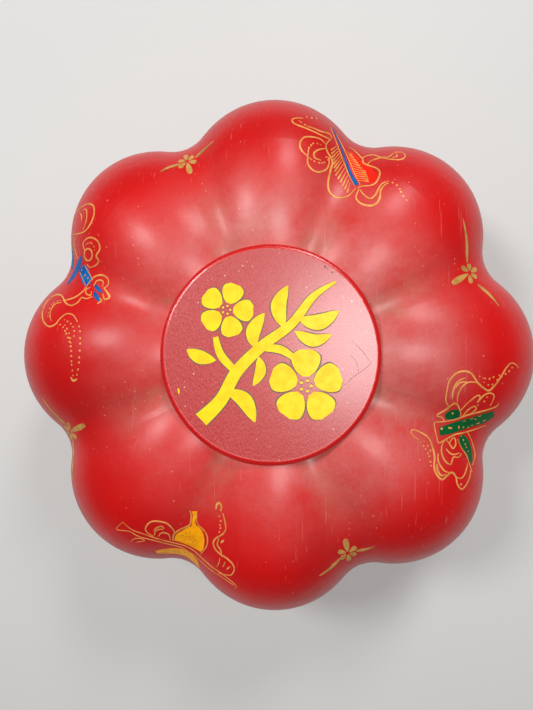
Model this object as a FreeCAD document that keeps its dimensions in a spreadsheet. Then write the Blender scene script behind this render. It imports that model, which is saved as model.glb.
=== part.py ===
"""Eight-lobed lacquered covered bowl: a lobed bowl on a foot ring, and a lobed lid with a round medallion.

Both halves have the same lobed form, one the mirror of the other about the seam.  A lobe is a ball at the
outside and a bent round bar that runs in over the top, so its crest is flatter than its sides are round, and
neighbouring lobes meet in a groove whose radius grows from the crown to the seam.

Frame: millimetres, +Z up, origin at the centre of the circle that the foot ring stands on.  A lobe lies on
+X and the others follow round +Z.
"""

import FreeCAD, Part
import math
import os

import Sketcher
from FreeCAD import Placement, Rotation, Vector

UP = Vector(0, 0, 1)
ACROSS = Vector(0, 1, 0)
SIDEWAYS = Vector(1, 0, 0)
FULL_TURN = 360.0
BAR_RUN = 40.0  # degrees that a lobe's bar runs in past its crest
ON_GROOVE = 0.3  # degrees that an edge of a groove may stray from its middle
CLOSE = 1e-4
INSETS = {"none": "0", "wall": "@wall"}
SHEET = "Dimensions"

DIMENSIONS = (
    ("lobe_count", 8, "lobes round the bowl, and as many round the lid"),
    ("overall_width", 330.0, "across two opposite lobes at the seam"),
    ("lobe_radius", 60.0, "radius of a lobe, in plan and across its crest"),
    ("crest_flatness", 0.755814, "bend of a lobe's bar, as a share of its crest's distance from the middle"),
    ("crest_setback", 19.0, "distance of a crest's highest point inwards from the lobe's centre"),
    ("foot_clear", 9.161, "lowest point of the lobes above the table"),
    ("wall", 5.0, "thickness of both lobed shells"),
    ("groove_radius_crown", 14.0, "radius in the bottom of a groove at its inner end, under the board"),
    ("groove_radius_side", 26.0, "radius in the bottom of a groove from the shoulder to the seam"),
    ("crown_margin", 8.2, "how far the thick round crown inside each shell runs out past its board"),
    ("crown_thickness", 8.0, "crown from the seat of its board to the hollow"),
    ("board_width", 123.6, "width of the round board's face"),
    ("board_overlap", 9.8, "how far the board's flange runs out past the plug that closes the crown's hole"),
    ("seat_bite", 0.455, "how far the board's seat is cut below the grooves' sharp floors at its edge"),
    ("board_clearance", 0.2, "glue gap round a board"),
    ("medallion_height", 10.0, "face of the medallion above its seat"),
    ("medallion_round", 3.0, "rounding of the medallion's edge"),
    ("floor_flange", 3.5, "thickness of the floor board's flange"),
    ("floor_chamfer", 1.0, "chamfer of the floor board's edge"),
    ("rim_height", 5.0, "height of each rim band"),
    ("rim_proud", 1.2, "how far a rim band stands out of the lobes"),
    ("rim_round", 1.0, "rounding of a rim band's outer edge away from the seam"),
    ("seam_gap", 0.3, "gap between the two rim bands when the lid is on"),
    ("lip_thickness", 2.5, "thickness of the locating lip"),
    ("lip_rise", 7.0, "how far the lip stands above the seam"),
    ("lip_chamfer", 0.8, "chamfer of the lip's top edge"),
    ("lip_clearance", 0.4, "gap between the lip and the lid's rim band"),
    ("foot_gap", 12.2, "clear space between the floor board and the foot ring"),
    ("foot_thickness", 8.0, "thickness of the foot ring"),
    ("foot_round", 2.0, "rounding of the foot ring's lower edges"),
)
DERIVED = (
    ("crest_reach", "overall_width / 2 - lobe_radius - crest_setback", "a crest's top, from the middle"),
    ("bend", "crest_flatness * crest_reach", "radius of the middle line of a lobe's bent bar"),
    ("bend_drop", "sqrt(bend ^ 2 - crest_setback ^ 2)", "middle of that bend below the seam, in the lid"),
    ("crest_radius", "bend + lobe_radius", "radius of a lobe's crest along its length"),
    ("crest_height", "crest_radius - bend_drop", "a crest's highest point above or below the seam"),
    ("seam_height", "crest_height + foot_clear", "seam above the table"),
    ("board_reach", "board_width / 2 * cos(180 deg / lobe_count)", "board's edge in a groove, along a lobe"),
    ("board_aside", "board_width / 2 * sin(180 deg / lobe_count)", "board's edge in a groove, across a lobe"),
    ("bar_reach", "bend + sqrt(lobe_radius ^ 2 - board_aside ^ 2)", "the lobe there, from its bend's middle"),
    ("groove_floor", "sqrt(bar_reach ^ 2 - (crest_reach - board_reach) ^ 2) - bend_drop", "groove there"),
    ("seat_height", "groove_floor - seat_bite", "seat of the round board above or below the seam"),
    ("board_plug_width", "board_width - 2 * board_overlap", "width of the board's plug"),
    ("crown_width", "board_width + 2 * crown_margin", "width of the thick round crown inside each shell"),
    ("foot_width", "board_width + 2 * foot_gap + 2 * foot_thickness", "width of the foot ring"),
)


def make_sheet(doc):
    """Put the driving and the derived dimensions in a spreadsheet, one named cell each.

    Returns the values by name.
    """
    sheet = doc.addObject("Spreadsheet::Sheet", SHEET)
    derived = [(alias, "=" + formula, note) for alias, formula, note in DERIVED]
    rows = [*DIMENSIONS, *derived]
    for row, (alias, content, note) in enumerate(rows, start=1):
        sheet.set(f"A{row}", alias)
        sheet.set(f"B{row}", str(content))
        sheet.set(f"C{row}", note)
        sheet.setAlias(f"B{row}", alias)
    doc.recompute()
    return {alias: float(sheet.get(alias)) for alias, _, _ in rows}


def bind(obj, **expressions):
    """Bind properties of an object to expressions, in which a name on the sheet is written @name."""
    for prop, expression in expressions.items():
        obj.setExpression(prop.replace("__", "."), expression.replace("@", SHEET + "."))


class Half:
    """One half of the box, seen from the seam outwards: +1 is the lid above it, -1 the bowl below it."""

    def __init__(self, doc, size, name, side):
        self.doc = doc
        self.size = size
        self.name = name
        self.side = side
        turn = Rotation(SIDEWAYS, 0 if side > 0 else 180)
        self.placement = Placement(Vector(0, 0, size["seam_height"]), turn)

    def add(self, kind, name, at=None, **expressions):
        """Add a primitive whose place is given from the middle of the seam, outwards."""
        obj = self.doc.addObject(kind, f"{self.name}_{name}")
        bind(obj, **expressions)
        obj.Placement = self.placement.multiply(at or Placement())
        return obj

    def combine(self, kind, name, base, tool):
        """Add a cut or a common of two objects."""
        obj = self.doc.addObject(kind, f"{self.name}_{name}")
        obj.Base, obj.Tool = base, tool
        return obj

    def lobe(self, name, index, inset):
        """One lobe, set in by an inset: a half ball at its outer end and a bent bar that runs in from it."""
        size = self.size
        centre = size["crest_reach"] + size["crest_setback"]
        lean = math.degrees(math.asin(size["crest_setback"] / size["bend"]))
        turn = Placement(Vector(), Rotation(UP, index * FULL_TURN / size["lobe_count"]))
        ball_at = Placement(Vector(centre, 0, 0), Rotation(ACROSS, 90 + lean))
        bar_turn = Rotation(SIDEWAYS, 90).multiply(Rotation(UP, 90 - lean))
        bar_at = Placement(Vector(size["crest_reach"], 0, -size["bend_drop"]), bar_turn)
        radius = f"@lobe_radius - {inset}"
        ball = self.add("Part::Sphere", f"{name}_ball_{index}", turn.multiply(ball_at), Radius=radius)
        ball.Angle1, ball.Angle2 = 0, 90
        bar = self.add(
            "Part::Torus",
            f"{name}_bar_{index}",
            turn.multiply(bar_at),
            Radius1="@bend",
            Radius2=radius,
        )
        bar.Angle3 = lean + BAR_RUN
        return [ball, bar]

    def lobed_form(self, name, inset):
        """All the lobes and a round core in one solid, with the grooves between the lobes rounded.

        Every piece is cut off at the seam before they are joined, because balls and bars that are whole
        cross each other again on the other side of it.
        """
        size = self.size
        count = int(size["lobe_count"])
        pieces = [piece for index in range(count) for piece in self.lobe(name, index, INSETS[inset])]
        core = self.add(
            "Part::Cylinder",
            f"{name}_core",
            Placement(Vector(0, 0, -size["lobe_radius"] / 2), Rotation()),
            Radius="@board_plug_width / 2",
            Height="@lobe_radius / 2 + @seat_height - @crown_thickness",
        )
        pieces.append(core)
        beyond = self.zone(f"{name}_side", 0.0)
        half = self.doc.addObject("Part::MultiFuse", f"{self.name}_{name}_half")
        half.Shapes = [
            self.combine("Part::Common", f"{name}_piece_{number}", piece, beyond)
            for number, piece in enumerate(pieces)
        ]
        half.Refine = True
        self.doc.recompute()
        rounded = self.doc.addObject("Part::Fillet", f"{self.name}_{name}_rounded")
        rounded.Base = half
        rounded.Edges = self.groove_edges(half.Shape, self.size.get(inset, 0.0))
        return rounded

    def zone(self, name, start):
        """All the space that lies further from the seam than a start."""
        return self.add(
            "Part::Cylinder",
            name,
            Placement(Vector(0, 0, start), Rotation()),
            Radius="@overall_width",
            Height="@crest_radius",
        )

    def groove_edges(self, shape, inset):
        """One edge of each groove, as (number, radius at its start, radius at its end).

        It is the edge between the bent bars, from under the board to the shoulder.  The edge between the
        balls, an arc of a circle from there to the seam, runs on smoothly from it with the radius that it
        ends with.  In a sharp groove the bars reach the seam and there is no such arc.
        """
        size = self.size
        half_step = 180.0 / size["lobe_count"]
        back = self.placement.inverse()
        crown, side = (size[f"groove_radius_{end}"] + inset for end in ("crown", "side"))
        picked = []
        for number, edge in enumerate(shape.Edges, start=1):
            first, last = edge.FirstParameter, edge.LastParameter
            points = [back.multVec(edge.valueAt(at)) for at in (first, (first + last) / 2, last)]
            turns = [math.degrees(math.atan2(point.y, point.x)) % (2 * half_step) for point in points]
            in_groove = max(abs(turn - half_step) for turn in turns) < ON_GROOVE
            if not in_groove or isinstance(edge.Curve, Part.Circle):
                continue
            reaches = [math.hypot(point.x, point.y) for point in points]
            radii = (crown, side) if reaches[0] < reaches[-1] else (side, crown)
            picked.append((number, *radii))
        return picked

    def shell(self):
        """The lobed shell: the form over the rim band, less its hollow, the board's seat and the hole."""
        size = self.size
        top = "@crest_radius"
        outer = self.lobed_form("outer", "none")
        inner = self.lobed_form("inner", "wall")
        mouth = size["rim_height"] + size["seam_gap"] / 2
        zone = self.zone("mouth_side", mouth)
        crown = self.add(
            "Part::Cylinder",
            "crown",
            Placement(Vector(0, 0, size["seat_height"] - size["crown_thickness"]), Rotation()),
            Radius="@crown_width / 2",
            Height=top,
        )
        seat = self.add(
            "Part::Cylinder",
            "seat",
            Placement(Vector(0, 0, size["seat_height"]), Rotation()),
            Radius="@board_width / 2 + @board_clearance",
            Height=top,
        )
        hole = self.add(
            "Part::Cylinder",
            "hole",
            Radius="@board_plug_width / 2 + @board_clearance",
            Height=top,
        )
        solid = self.combine("Part::Common", "solid", outer, zone)
        hollow = self.combine("Part::Cut", "hollow", inner, crown)
        walls = self.combine("Part::Cut", "walls", solid, hollow)
        seated = self.combine("Part::Cut", "seated", walls, seat)
        bored = self.combine("Part::Cut", "shell", seated, hole)
        bored.Label = f"{self.name}_shell"
        return bored, outer


def plane(body, role):
    """An origin plane or axis of a body, by its role."""
    return next(f for f in body.Origin.OriginFeatures if f.Role == role)


def sketch_on(body, role, name):
    """A new sketch on one of a body's own origin planes."""
    sketch = body.newObject("Sketcher::SketchObject", name)
    sketch.AttachmentSupport = [(plane(body, role), "")]
    sketch.MapMode = "FlatFace"
    return sketch


def turned_profile(sketch, corners):
    """Draw a closed outline of straight lines through corners whose X and Y are (value, expression) pairs."""
    points = [Vector(x[0], y[0], 0) for x, y in corners]
    count = len(points)
    for index in range(count):
        sketch.addGeometry(Part.LineSegment(points[index], points[(index + 1) % count]), False)
    for index in range(count):
        sketch.addConstraint(Sketcher.Constraint("Coincident", index, 2, (index + 1) % count, 1))
    for index, corner in enumerate(corners):
        for kind, (value, expression) in zip(("DistanceX", "DistanceY"), corner):
            if abs(value) < CLOSE:
                axis = -2 if kind == "DistanceX" else -1
                sketch.addConstraint(Sketcher.Constraint("PointOnObject", index, 1, axis))
                continue
            number = sketch.addConstraint(Sketcher.Constraint(kind, -1, 1, index, 1, value))
            sketch.setExpression(f"Constraints[{number}]", expression.replace("@", SHEET + "."))


def revolve(body, sketch, name):
    """Turn a sketch a full turn about its vertical axis."""
    turned = body.newObject("PartDesign::Revolution", name)
    turned.Profile = sketch
    turned.ReferenceAxis = (sketch, ["V_Axis"])
    turned.Angle = FULL_TURN
    sketch.Document.recompute()
    return turned


def edges_where(shape, test):
    """Names of a shape's edges whose middle point passes a test."""
    names = []
    for number, edge in enumerate(shape.Edges, start=1):
        middle = edge.valueAt((edge.FirstParameter + edge.LastParameter) / 2)
        if test(middle, edge):
            names.append(f"Edge{number}")
    return names


def dress(body, base, kind, test, name, size_expression):
    """Round or chamfer the edges of a feature that pass a test."""
    dressed = body.newObject(f"PartDesign::{kind}", name)
    dressed.Base = (base, edges_where(base.Shape, test))
    prop = "Radius" if kind == "Fillet" else "Size"
    bind(dressed, **{prop: size_expression})
    body.Document.recompute()
    return dressed


def is_ring(edge, radius):
    """Whether an edge is a circle of that radius."""
    return isinstance(edge.Curve, Part.Circle) and abs(edge.Curve.Radius - radius) < CLOSE


def board(doc, half, name, flange):
    """A turned board: a flange that lies on the crown's seat, and a plug that fills the crown's hole."""
    size = half.size
    body = doc.addObject("PartDesign::Body", name)
    sketch = sketch_on(body, "XZ_Plane", f"{name}_profile")
    seat = (size["seat_height"], "@seat_height")
    inside = (size["seat_height"] - size["crown_thickness"], "@seat_height - @crown_thickness")
    face = (size["seat_height"] + size[flange], f"@seat_height + @{flange}")
    middle = (0.0, "0")
    plug = (size["board_plug_width"] / 2, "@board_plug_width / 2")
    rim = (size["board_width"] / 2, "@board_width / 2")
    corners = ((middle, inside), (plug, inside), (plug, seat), (rim, seat), (rim, face), (middle, face))
    turned_profile(sketch, corners)
    turned = revolve(body, sketch, f"{name}_turned")
    body.Placement = half.placement
    doc.recompute()
    return body, turned, rim[0], face[0]


def medallion(doc, lid):
    """The lid's medallion, with its edge well rounded."""
    body, turned, rim, face = board(doc, lid, "lid_medallion", "medallion_height")

    def outer_edge(point, edge):
        return is_ring(edge, rim) and abs(point.z - face) < CLOSE

    dress(body, turned, "Fillet", outer_edge, "medallion_edge", "@medallion_round")
    return body


def floor_board(doc, bowl):
    """The bowl's floor board, with its outer edge broken by a chamfer."""
    body, turned, rim, face = board(doc, bowl, "bowl_floor", "floor_flange")

    def outer_edge(point, edge):
        return is_ring(edge, rim) and abs(point.z - face) < CLOSE

    dress(body, turned, "Chamfer", outer_edge, "floor_edge", "@floor_chamfer")
    return body


def lobed_sector(sketch, size, outer, inner):
    """Draw one lobe's share of a band that follows the lobes, between two offsets from them.

    An offset is a (value, expression) pair, measured outwards.  Each side of the band is a lobe's arc between
    two half groove arcs, and every arc of a kind shares its centre with the other side's.
    """
    half_step = math.pi / size["lobe_count"]
    centre = size["overall_width"] / 2 - size["lobe_radius"]
    reach = size["lobe_radius"] + size["groove_radius_side"]
    out = centre * math.cos(half_step) + math.sqrt(reach**2 - (centre * math.sin(half_step)) ** 2)
    lobe_at = Vector(centre, 0, 0)
    groove_at = {s: Vector(out * math.cos(half_step), s * out * math.sin(half_step), 0) for s in (-1, 1)}
    toward = math.atan2(out * math.sin(half_step), centre - out * math.cos(half_step))

    def arc(middle, radius, start, end, construction=False):
        circle = Part.Circle(middle, UP, radius)
        return sketch.addGeometry(Part.ArcOfCircle(circle, start, end), construction)

    def line(start, end, construction=False):
        return sketch.addGeometry(Part.LineSegment(start, end), construction)

    def constrain(*parts):
        return sketch.addConstraint(Sketcher.Constraint(*parts))

    def measured(expression, *parts):
        number = constrain(*parts)
        sketch.setExpression(f"Constraints[{number}]", expression.replace("@", SHEET + "."))

    spoke = {s: line(Vector(), groove_at[s], True) for s in (-1, 1)}
    link = line(Vector(), lobe_at, True)
    for item in (*spoke.values(), link):
        constrain("Coincident", item, 1, -1, 1)
    constrain("PointOnObject", link, 2, -1)
    measured("@overall_width / 2 - @lobe_radius", "DistanceX", -1, 1, link, 2, centre)
    for s in (-1, 1):
        measured("@lobe_radius + @groove_radius_side", "Distance", link, 2, spoke[s], 2, reach)
    measured("180 deg / @lobe_count", "Angle", link, 1, spoke[1], 1, half_step)
    measured("180 deg / @lobe_count", "Angle", spoke[-1], 1, link, 1, half_step)

    ends = []
    for value, expression in (outer, inner):
        radius = size["lobe_radius"] + value
        groove = size["groove_radius_side"] - value
        low = arc(groove_at[-1], groove, toward, math.pi - half_step)
        lobe = arc(lobe_at, radius, toward - math.pi, math.pi - toward)
        high = arc(groove_at[1], groove, math.pi + half_step, 2 * math.pi - toward)
        constrain("Coincident", low, 3, spoke[-1], 2)
        constrain("Coincident", lobe, 3, link, 2)
        constrain("Coincident", high, 3, spoke[1], 2)
        constrain("Tangent", low, 1, lobe, 1)
        constrain("Tangent", lobe, 2, high, 2)
        measured(f"@lobe_radius + ({expression})", "Radius", lobe, radius)
        constrain("PointOnObject", low, 2, spoke[-1])
        constrain("PointOnObject", high, 1, spoke[1])
        ends.append((low, high))
    for side, end in ((0, 2), (1, 1)):
        first, second = ends[0][side], ends[1][side]
        closing = line(sketch.getPoint(first, end), sketch.getPoint(second, end))
        constrain("Coincident", closing, 1, first, end)
        constrain("Coincident", closing, 2, second, end)


def lobed_band(doc, half, name, outer, inner, start, height):
    """A band that follows the lobes all round: one lobe's share of it, padded and patterned."""
    size = half.size
    body = doc.addObject("PartDesign::Body", name)
    sketch = sketch_on(body, "XY_Plane", f"{name}_outline")
    bind(sketch, AttachmentOffset__Base__z=start)
    lobed_sector(sketch, size, outer, inner)
    pad = body.newObject("PartDesign::Pad", f"{name}_sector")
    pad.Profile = sketch
    bind(pad, Length=height)
    doc.recompute()
    pattern = body.newObject("PartDesign::PolarPattern", f"{name}_all_round")
    pattern.Originals = [pad]
    pattern.Axis = (plane(body, "Z_Axis"), [""])
    pattern.Angle = FULL_TURN
    pattern.Refine = True
    bind(pattern, Occurrences="@lobe_count")
    body.Tip = pattern
    body.Placement = half.placement
    doc.recompute()
    return body, pattern


def rim_band(doc, half, name, inner):
    """A half's rim band, glued on the mouth of its shell, with its outer edge away from the seam rounded."""
    size = half.size
    outer = (size["rim_proud"], "@rim_proud")
    body, pattern = lobed_band(doc, half, name, outer, inner, "@seam_gap / 2", "@rim_height")
    away = size["rim_height"] + size["seam_gap"] / 2
    groove_floor = size["groove_radius_side"] - size["rim_proud"]
    lobe_side = size["lobe_radius"] + size["rim_proud"]

    def outer_edge(point, edge):
        return abs(point.z - away) < CLOSE and (is_ring(edge, groove_floor) or is_ring(edge, lobe_side))

    dress(body, pattern, "Fillet", outer_edge, f"{name}_edge", "@rim_round")
    return body


def rim_bands(doc, lid, bowl):
    """Both rim bands.  The lid's is wider inside by the lip's clearance.  The lip is glued in the bowl's."""
    size = lid.size
    bowl_inner = (-size["wall"] - size["lip_clearance"] * 2, "-@wall - @lip_clearance * 2")
    lid_inner = (bowl_inner[0] + size["lip_clearance"], "-@wall - @lip_clearance")
    rim_band(doc, lid, "lid_rim", lid_inner)
    rim_band(doc, bowl, "bowl_rim", bowl_inner)
    return bowl_inner


def locating_lip(doc, lid, outside):
    """The lip, a strip bent round inside the bowl's rim band, which the lid comes down over."""
    size = lid.size
    inside = (outside[0] - size["lip_thickness"], f"{outside[1]} - @lip_thickness")
    start = "-@seam_gap / 2 - @rim_height"
    height = "@seam_gap / 2 + @rim_height + @lip_rise"
    body, pattern = lobed_band(doc, lid, "bowl_lip", outside, inside, start, height)
    top = size["lip_rise"]
    radii = [base + sign * side[0] for side in (outside, inside) for base, sign in (
        (size["lobe_radius"], 1), (size["groove_radius_side"], -1))]

    def top_edge(point, edge):
        return abs(point.z - top) < CLOSE and any(is_ring(edge, radius) for radius in radii)

    dress(body, pattern, "Chamfer", top_edge, "lip_edge", "@lip_chamfer")
    return body


def foot_ring(doc, bowl, bowl_form):
    """The foot ring: a turned ring with its top scribed to the lobes that it is glued under."""
    size = bowl.size
    body = doc.addObject("PartDesign::Body", "foot_turned")
    sketch = sketch_on(body, "XZ_Plane", "foot_profile")
    outside = (size["foot_width"] / 2, "@foot_width / 2")
    inside = (outside[0] - size["foot_thickness"], "@foot_width / 2 - @foot_thickness")
    table = (0.0, "0")
    top = (size["seam_height"] / 2, "@seam_height / 2")
    turned_profile(sketch, ((inside, table), (outside, table), (outside, top), (inside, top)))
    turned = revolve(body, sketch, "foot_ring_turned")

    def lower_edge(point, edge):
        return abs(point.z) < CLOSE and (is_ring(edge, outside[0]) or is_ring(edge, inside[0]))

    dress(body, turned, "Fillet", lower_edge, "foot_edge", "@foot_round")
    scribed = doc.addObject("Part::Cut", "foot_scribed")
    scribed.Base, scribed.Tool = body, bowl_form
    scribed.Label = "foot_ring"
    doc.recompute()
    return scribed


def check(doc, names):
    """Stop unless every object of the document recomputed and every sub-part is one or more sound solids."""
    for obj in doc.Objects:
        if {"Invalid", "Error"} & set(obj.State):
            raise RuntimeError(f"{obj.Label} did not recompute: {obj.State}")
    for name in names:
        found = doc.getObjectsByLabel(name)
        if len(found) != 1 or found[0].Shape.isNull() or not found[0].Shape.isValid():
            raise RuntimeError(f"{name} has no sound shape")
        print(f"{name}: {found[0].Shape.Volume / 1000:.1f} cm3, {len(found[0].Shape.Solids)} solid")


def main():
    """Build the box and write one file for each sub-part."""
    doc = FreeCAD.newDocument("lobed_box")
    size = make_sheet(doc)
    lid = Half(doc, size, "lid", 1)
    bowl = Half(doc, size, "bowl", -1)
    lid.shell()
    _, bowl_form = bowl.shell()
    medallion(doc, lid)
    floor_board(doc, bowl)
    lip_outside = rim_bands(doc, lid, bowl)
    locating_lip(doc, lid, lip_outside)
    foot_ring(doc, bowl, bowl_form)
    doc.recompute()

    names = (
        "lid_shell",
        "lid_medallion",
        "lid_rim",
        "bowl_shell",
        "bowl_floor",
        "bowl_rim",
        "bowl_lip",
        "foot_ring",
    )
    check(doc, names)
    os.makedirs("parts", exist_ok=True)
    for name in names:
        doc.getObjectsByLabel(name)[0].Shape.exportStep(os.path.join("parts", f"{name}.step"))


main()
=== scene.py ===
"""A lobed covered bowl in old red lacquer, with painted emblems and a yellow flowering branch on its lid.

Metres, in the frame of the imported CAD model: +Z up, the foot ring stands on z = 0, and a lobe lies on +X.
The painted strokes are in millimetres.
"""

import logging
import math
from dataclasses import dataclass
from enum import Enum

import bpy
from mathutils import Matrix, Vector


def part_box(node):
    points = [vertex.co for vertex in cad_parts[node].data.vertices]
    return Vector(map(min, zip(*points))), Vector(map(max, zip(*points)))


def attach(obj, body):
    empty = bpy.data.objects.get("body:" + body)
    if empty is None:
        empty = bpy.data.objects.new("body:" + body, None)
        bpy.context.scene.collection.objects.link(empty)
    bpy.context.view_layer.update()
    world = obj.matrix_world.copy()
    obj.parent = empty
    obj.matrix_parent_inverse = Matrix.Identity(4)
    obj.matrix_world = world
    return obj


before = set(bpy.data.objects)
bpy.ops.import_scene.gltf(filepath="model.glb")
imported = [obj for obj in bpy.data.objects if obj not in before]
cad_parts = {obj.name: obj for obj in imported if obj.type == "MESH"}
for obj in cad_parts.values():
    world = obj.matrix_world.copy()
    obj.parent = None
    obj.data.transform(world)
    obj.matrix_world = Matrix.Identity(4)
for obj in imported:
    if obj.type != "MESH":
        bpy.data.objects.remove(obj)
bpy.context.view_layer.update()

LOG = logging.getLogger("lobed_bowl")
MM = 0.001
LOBES = 8
Point = tuple[float, float]
Surface = bpy.types.Object | None


def groove(number: int) -> float:
    """The angle of a groove about the bowl's middle, in degrees, counted from the first one after +X."""
    return (number + 0.5) * 360 / LOBES


class Slot(Enum):
    """Names of the record's material slots; the paints are keyed by them."""

    RED = "red_lacquer"
    MEDALLION = "medallion_lacquer"
    YELLOW = "yellow_paint"
    GOLD = "gold_paint"
    LEAF = "leaf_paint"
    BLUE = "blue_paint"
    GREEN = "green_paint"
    AMBER = "amber_paint"


# ---------------------------------------------------------------- shader building blocks


class Graph:
    """A thin helper round a node tree, which makes nodes, values and links in one call."""

    def __init__(self, tree: bpy.types.NodeTree) -> None:
        """Keep the tree."""
        self.tree = tree

    def node(self, kind: str, **inputs: object) -> bpy.types.Node:
        """Add a node.

        Args:
            kind: the node's Blender type.
            inputs: properties of the node, or input names with _ for a space, and a value or a socket to
                link.

        Returns:
            The new node.
        """
        made = self.tree.nodes.new(kind)
        for name, value in inputs.items():
            if hasattr(made, name):
                setattr(made, name, value)
        for name, value in inputs.items():
            if not hasattr(made, name):
                self.feed(made, name.replace("_", " "), value)
        return made

    def feed(self, node: bpy.types.Node, name: str, value: object) -> None:
        """Link a socket to a named input, or set its value.

        Args:
            node: the node that has the input.
            name: the input's name, or its number.
            value: a socket to link, or a plain value.
        """
        socket = node.inputs[int(name)] if name.isdigit() else node.inputs[name]
        if isinstance(value, bpy.types.NodeSocket):
            self.tree.links.new(value, socket)
        else:
            socket.default_value = value

    def math(self, operation: str, *values: object, clamp: bool = False) -> bpy.types.NodeSocket:
        """A Math node's result.

        Args:
            operation: what the node does.
            values: sockets or numbers.
            clamp: keep the result from 0 to 1.

        Returns:
            The result.
        """
        made = self.tree.nodes.new("ShaderNodeMath")
        made.operation, made.use_clamp = operation, clamp
        for index, value in enumerate(values):
            self.feed(made, str(index), value)
        return made.outputs[0]

    def times(self, first: object, second: object, clamp: bool = False) -> bpy.types.NodeSocket:
        """The product of two values."""
        return self.math("MULTIPLY", first, second, clamp=clamp)

    def plus(self, first: object, second: object) -> bpy.types.NodeSocket:
        """The sum of two values."""
        return self.math("ADD", first, second)

    def minus(self, first: object, second: object, clamp: bool = False) -> bpy.types.NodeSocket:
        """The first value less the second."""
        return self.math("SUBTRACT", first, second, clamp=clamp)

    def reach(self, axes: bpy.types.Node) -> bpy.types.NodeSocket:
        """The distance from the Z axis, of a place split into X, Y and Z."""
        squares = [self.math("POWER", axes.outputs[axis], 2.0) for axis in (0, 1)]
        return self.math("SQRT", self.plus(*squares))

    def group(self, tree: bpy.types.NodeTree) -> bpy.types.NodeSocket:
        """The first output of one of the shared effects."""
        return self.node("ShaderNodeGroup", node_tree=tree).outputs[0]

    def cover(self, body: bpy.types.Node, colour: object, rough: object, height: object, strength: float,
              depth: float) -> None:
        """Feed a shader its colour, its roughness and a bump.

        Args:
            body: the Principled shader.
            colour: the base colour.
            rough: the roughness.
            height: the bump's height.
            strength: how strong the bump is, from 0 to 1.
            depth: how deep it is, in metres.
        """
        bump = self.node("ShaderNodeBump", Height=height, Strength=strength, Distance=depth)
        for name, value in (("Base Color", colour), ("Roughness", rough), ("Normal", bump.outputs[0])):
            self.feed(body, name, value)

    def ramp(self, value: object, low: float, high: float) -> bpy.types.NodeSocket:
        """A smooth step of a value from 0 at low to 1 at high.

        Args:
            value: the value.
            low: where the step starts.
            high: where it ends, which may be below low.

        Returns:
            The step, from 0 to 1.
        """
        made = self.node("ShaderNodeMapRange", interpolation_type="SMOOTHSTEP", Value=value)
        made.inputs["From Min"].default_value, made.inputs["From Max"].default_value = low, high
        return made.outputs["Result"]

    def blend(self, factor: object, first: object, second: object, mode: str = "MIX") -> bpy.types.NodeSocket:
        """A colour mix of two colours or sockets.

        Args:
            factor: the share of the second colour.
            first: the first colour.
            second: the second colour.
            mode: how they are mixed.

        Returns:
            The mixed colour.
        """
        made = self.tree.nodes.new("ShaderNodeMix")
        made.data_type, made.blend_type = "RGBA", mode
        for socket, value in ((made.inputs["Factor"], factor), (made.inputs[6], first), (made.inputs[7],
                              second)):
            if isinstance(value, bpy.types.NodeSocket):
                self.tree.links.new(value, socket)
            else:
                socket.default_value = value
        return made.outputs[2]

    def place(self, scale: tuple = (1, 1, 1), turn: tuple = (0, 0, 0), shift: tuple = (0, 0,
              0)) -> bpy.types.NodeSocket:
        """Object coordinates in metres, shifted, turned and scaled."""
        coordinates = self.node("ShaderNodeTexCoord").outputs["Object"]
        mapped = self.node("ShaderNodeMapping", Vector=coordinates, Location=shift, Rotation=turn,
                           Scale=scale)
        return mapped.outputs["Vector"]

    def noise(self, vector: object, scale: float, detail: float = 3.0,
              rough: float = 0.55) -> bpy.types.NodeSocket:
        """A noise texture's value."""
        made = self.node("ShaderNodeTexNoise", Vector=vector, Scale=scale, Detail=detail, Roughness=rough)
        return made.outputs["Fac"]


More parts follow.
